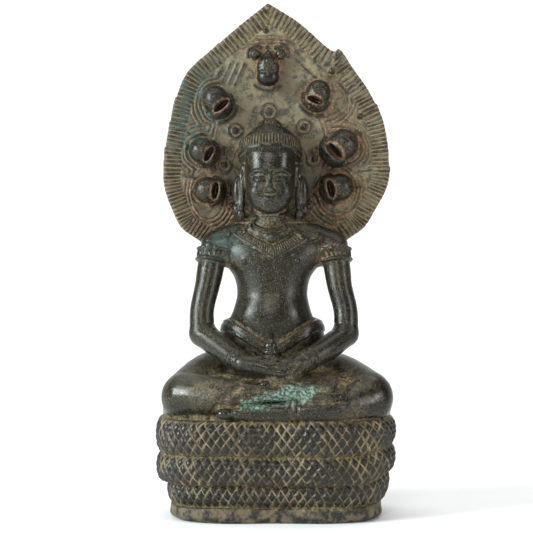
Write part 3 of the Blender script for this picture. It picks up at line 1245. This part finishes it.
def bronze():
    t = Tree("patinated_bronze")
    fine, wide, broad = (t.attribute("hollow_" + name) for name in ("fine", "wide", "broad"))
    on_coils, on_foot, on_cuts = (t.attribute("on_" + name) for name in ("coils", "foot", "cuts"))
    on_rim, on_field, on_hood = (t.attribute("on_" + name) for name in ("rim", "field", "hood"))
    on_strands = t.attribute("on_strands")
    underside, verdigris, handled = (t.attribute(name) for name in ("underside", "verdigris", "handled"))
    cloud = t.noise(45.0, 5.0, 0.55)
    mottle = t.noise(240.0, 5.0, 0.6)
    grain = t.noise(900.0, 4.0, 0.65)
    speck = t.noise(1700.0, 2.0, 0.5)

    # Lines between the scales, grooves between the ribs of the rim and between the strands inside it
    wobble = (mottle - 0.5) * 0.2
    across, up = t.attribute("scale_way") / SCALE_WIDTH, t.attribute("scale_level") / SCALE_HEIGHT
    scale_lines = most(t.lines(across + up + wobble, 0.145), t.lines(across - up + wobble, 0.145))
    scale_lines = scale_lines * on_coils * t.noise(80.0).span(0.4, 0.6, 0.08, 1.0)
    rib_lines = t.lines(t.attribute("rib_way"), 0.3) * on_rim * mottle.span(0.3, 0.5, 0.6, 1.0)
    strand_lines = t.lines(t.attribute("strand_way") + wobble, 0.34) * on_strands
    strand_lines = strand_lines * mottle.span(0.32, 0.55, 0.4, 1.0)
    cuts = t.lines(t.attribute("cut_way"), 0.3) * on_cuts * mottle.span(0.3, 0.55, 0.35, 1.0)
    grooves = most(rib_lines, strand_lines, cuts)

    # Dust in hollows and as a film
    dusty = fine.span(0.54, 0.66) + wide.span(0.58, 0.78) + t.attribute("seams") * 0.65
    dusty = dusty + broad.span(0.54, 0.74) * speck.span(0.38, 0.6)
    dusty = most((dusty * mottle.span(0.28, 0.58)).clamped(), grooves)
    film = speck.span(0.54, 0.66) * cloud.span(0.4, 0.6, 0.2, 0.8)
    film = film * on_coils.span(0.0, 1.0, 1.0, 0.45) * on_hood.span(0.0, 1.0, 0.4, 0.8)
    layer = (t.attribute("dusted") * mottle.span(0.4, 0.6, 0.15, 0.9)).clamped()
    layer = layer * grain.span(0.36, 0.56, 0.35, 1.0) * wide.span(0.36, 0.52, 0.05, 1.0)
    dusty = most(dusty, most(layer, film)) * handled.span(0.2, 1.0, 1.0, 0.15)
    dusty = most(dusty, cuts * 0.75)

    # Bare bronze, and the dull skin of the hood's field and rim
    dark = t.coats(
        t.mix(cloud.span(0.36, 0.66), (0.0060, 0.0062, 0.0045), (0.016, 0.0155, 0.0085)),
        (speck.span(0.52, 0.64) * 0.65, (0.085, 0.070, 0.034)),
        (fine.span(0.47, 0.36) * grain.span(0.4, 0.62) * 0.45, (0.050, 0.050, 0.045)),
        (t.attribute("topside") * mottle.span(0.4, 0.65) * 0.3, (0.036, 0.042, 0.042)),
    )
    field = t.coats(
        t.mix(mottle.span(0.4, 0.6), (0.036, 0.042, 0.026), (0.25, 0.225, 0.124)),
        (grain.span(0.48, 0.66) * 0.6, (0.28, 0.255, 0.150)),
        (speck.span(0.56, 0.7) * 0.7, (0.022, 0.024, 0.02)),
        (cloud.span(0.5, 0.62, 0.0, 0.75), (0.034, 0.040, 0.026)),
        (on_strands * mottle.span(0.36, 0.62, 0.95, 0.5), (0.030, 0.037, 0.025)),
        (t.attribute("warm") * mottle.span(0.38, 0.62, 0.1, 0.7), (0.27, 0.150, 0.072)),
        ((t.attribute("tarnish") * 0.75).clamped(), (0.030, 0.034, 0.022)),
    )
    dull = most(on_field * fine.span(0.36, 0.46), on_rim * mottle.span(0.36, 0.6, 0.08, 0.55))

    khaki = t.mix(grain.span(0.4, 0.62), (0.055, 0.043, 0.018), (0.235, 0.178, 0.080))
    orange = t.mix(grain.span(0.4, 0.62), (0.12, 0.062, 0.028), (0.42, 0.225, 0.11))
    rusty = (t.attribute("rust") * cloud.span(0.38, 0.54, 0.5, 1.0)).clamped()
    spots = (verdigris + (mottle - 0.5) * 2.6).span(0.5, 1.2) * grain.span(0.4, 0.56, 0.35, 1.0)
    shade = (t.attribute("mouths") * 1.2).clamped()
    lips = (t.attribute("lips") * mottle.span(0.36, 0.6, 0.1, 0.85)).clamped()
    colour = t.coats(
        dark,
        (dull * 0.88, field),
        (underside * 0.85, t.mix(mottle.span(0.4, 0.64), (0.010, 0.009, 0.005), (0.048, 0.040, 0.018))),
        (on_coils * 0.75, (0.008, 0.0072, 0.0045)),
        (on_foot * 0.85, t.mix(mottle.span(0.4, 0.6), (0.005, 0.004, 0.0025), (0.145, 0.114, 0.062))),
        (dusty * 0.9, t.coats(khaki, (rusty, orange), (rib_lines * 0.5, (0.40, 0.31, 0.185)))),
        (scale_lines * 0.75, t.mix(mottle.span(0.34, 0.62), (0.085, 0.066, 0.031), (0.39, 0.31, 0.16))),
        ((t.attribute("teal") * mottle.span(0.4, 0.58)).clamped() * 0.7, (0.042, 0.086, 0.070)),
        (spots * 0.85, t.mix(grain.span(0.43, 0.62), (0.050, 0.092, 0.070), (0.195, 0.37, 0.285))),
        (verdigris * speck.span(0.58, 0.68) * 0.8, (0.20, 0.095, 0.035)),
        (shade, (0.010, 0.008, 0.005)),
        (lips, orange),
    )

    dusty = most(dusty * (1.0 - shade), lips)
    cover = most(dusty, scale_lines, most(spots, dull * 0.8))
    cover = most(cover, on_foot * 0.85, underside * 0.6)
    rough = cover * 0.45 + mottle.span(0.3, 0.7, 0.27, 0.38) + (grain - 0.5) * 0.3
    rough = (rough - handled * 0.11).clamped()
    height = (grain * 0.5 + speck * 0.3 + mottle * 0.9) * cover.span(0.0, 0.7, 0.25, 1.0)
    height = height - scale_lines * 0.8 - grooves
    metal = cover.span(0.0, 0.8, 0.36, 0.0)
    looks = {"Base Color": colour, "Metallic": metal, "Roughness": rough, "Specular IOR Level": 0.5}
    return t.finish(0.6, 0.0004, height, **looks)


def pale_floor():
    t = Tree("pale_floor")
    faint = t.noise(30.0)
    colour = t.mix(faint, (0.92, 0.92, 0.92), (0.94, 0.94, 0.94))
    return t.finish(0.02, 0.0005, faint, **{"Base Color": colour, "Roughness": 0.85})


statue.materials.append(bronze())
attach(piece, "root")
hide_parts("naga_buddha")


# The studio


def floor():
    mesh = bpy.data.meshes.new("floor")
    half, depth, height, curve = 3.0, 1.2, 2.4, 0.6
    bend = [(-half, 0.0)]
    for angle in np.linspace(0, math.pi / 2, 24):
        bend.append((depth - curve + curve * math.sin(angle), curve - curve * math.cos(angle)))
    bend += [(depth, height)]
    points = [(x, y, z - 0.0001) for y, z in bend for x in (-half, half)]
    mesh.from_pydata(points, [], [(2 * i, 2 * i + 1, 2 * i + 3, 2 * i + 2) for i in range(len(bend) - 1)])
    mesh.shade_smooth()
    mesh.materials.append(pale_floor())
    sweep = bpy.data.objects.new("floor", mesh)
    bpy.context.scene.collection.objects.link(sweep)
    return sweep


def lamp(name, place, target, size, power, colour=(1, 1, 1)):
    data = bpy.data.lights.new(name, "AREA")
    data.shape, data.size, data.size_y = "RECTANGLE", size[0], size[1]
    data.energy, data.color = power, colour
    light = bpy.data.objects.new(name, data)
    light.location = place
    light.rotation_euler = (Vector(target) - Vector(place)).to_track_quat("-Z", "Y").to_euler()
    bpy.context.scene.collection.objects.link(light)


floor()
middle = (0, 0, 0.12)
lamp("left_softbox", (-0.73, -0.4, 0.37), middle, (0.32, 0.4), 11.0, (0.84, 0.93, 1.0))
lamp("right_softbox", (0.8, -0.5, 0.3), middle, (0.2, 0.5), 3.6, (0.94, 0.97, 1.0))
lamp("front_softbox", (-0.12, -1.0, 0.55), middle, (0.3, 0.4), 3.0, (1.0, 0.97, 0.90))
lamp("top_softbox", (0.0, -0.15, 0.9), middle, (0.9, 0.5), 2.2)
lamp("backdrop_light", (0.0, 0.35, 1.3), (0, 1.2, 0.3), (1.6, 0.5), 11.5)

scene = bpy.context.scene
scene.world = bpy.data.worlds.new("studio")
scene.world.use_nodes = True
sky = scene.world.node_tree.nodes["Background"]
sky.inputs["Color"].default_value = (1, 1, 1, 1)
sky.inputs["Strength"].default_value = 0.14
scene.view_settings.view_transform = "Standard"

camera = bpy.data.objects.new("camera", bpy.data.cameras.new("camera"))
camera.data.lens, camera.data.sensor_width = 102.2, 36
camera.data.clip_start, camera.data.clip_end = 0.01, 20
camera.location = (-0.0044, -0.71, 0.1157)
camera.rotation_euler = (math.pi / 2, 0, 0)
scene.collection.objects.link(camera)
scene.camera = camera
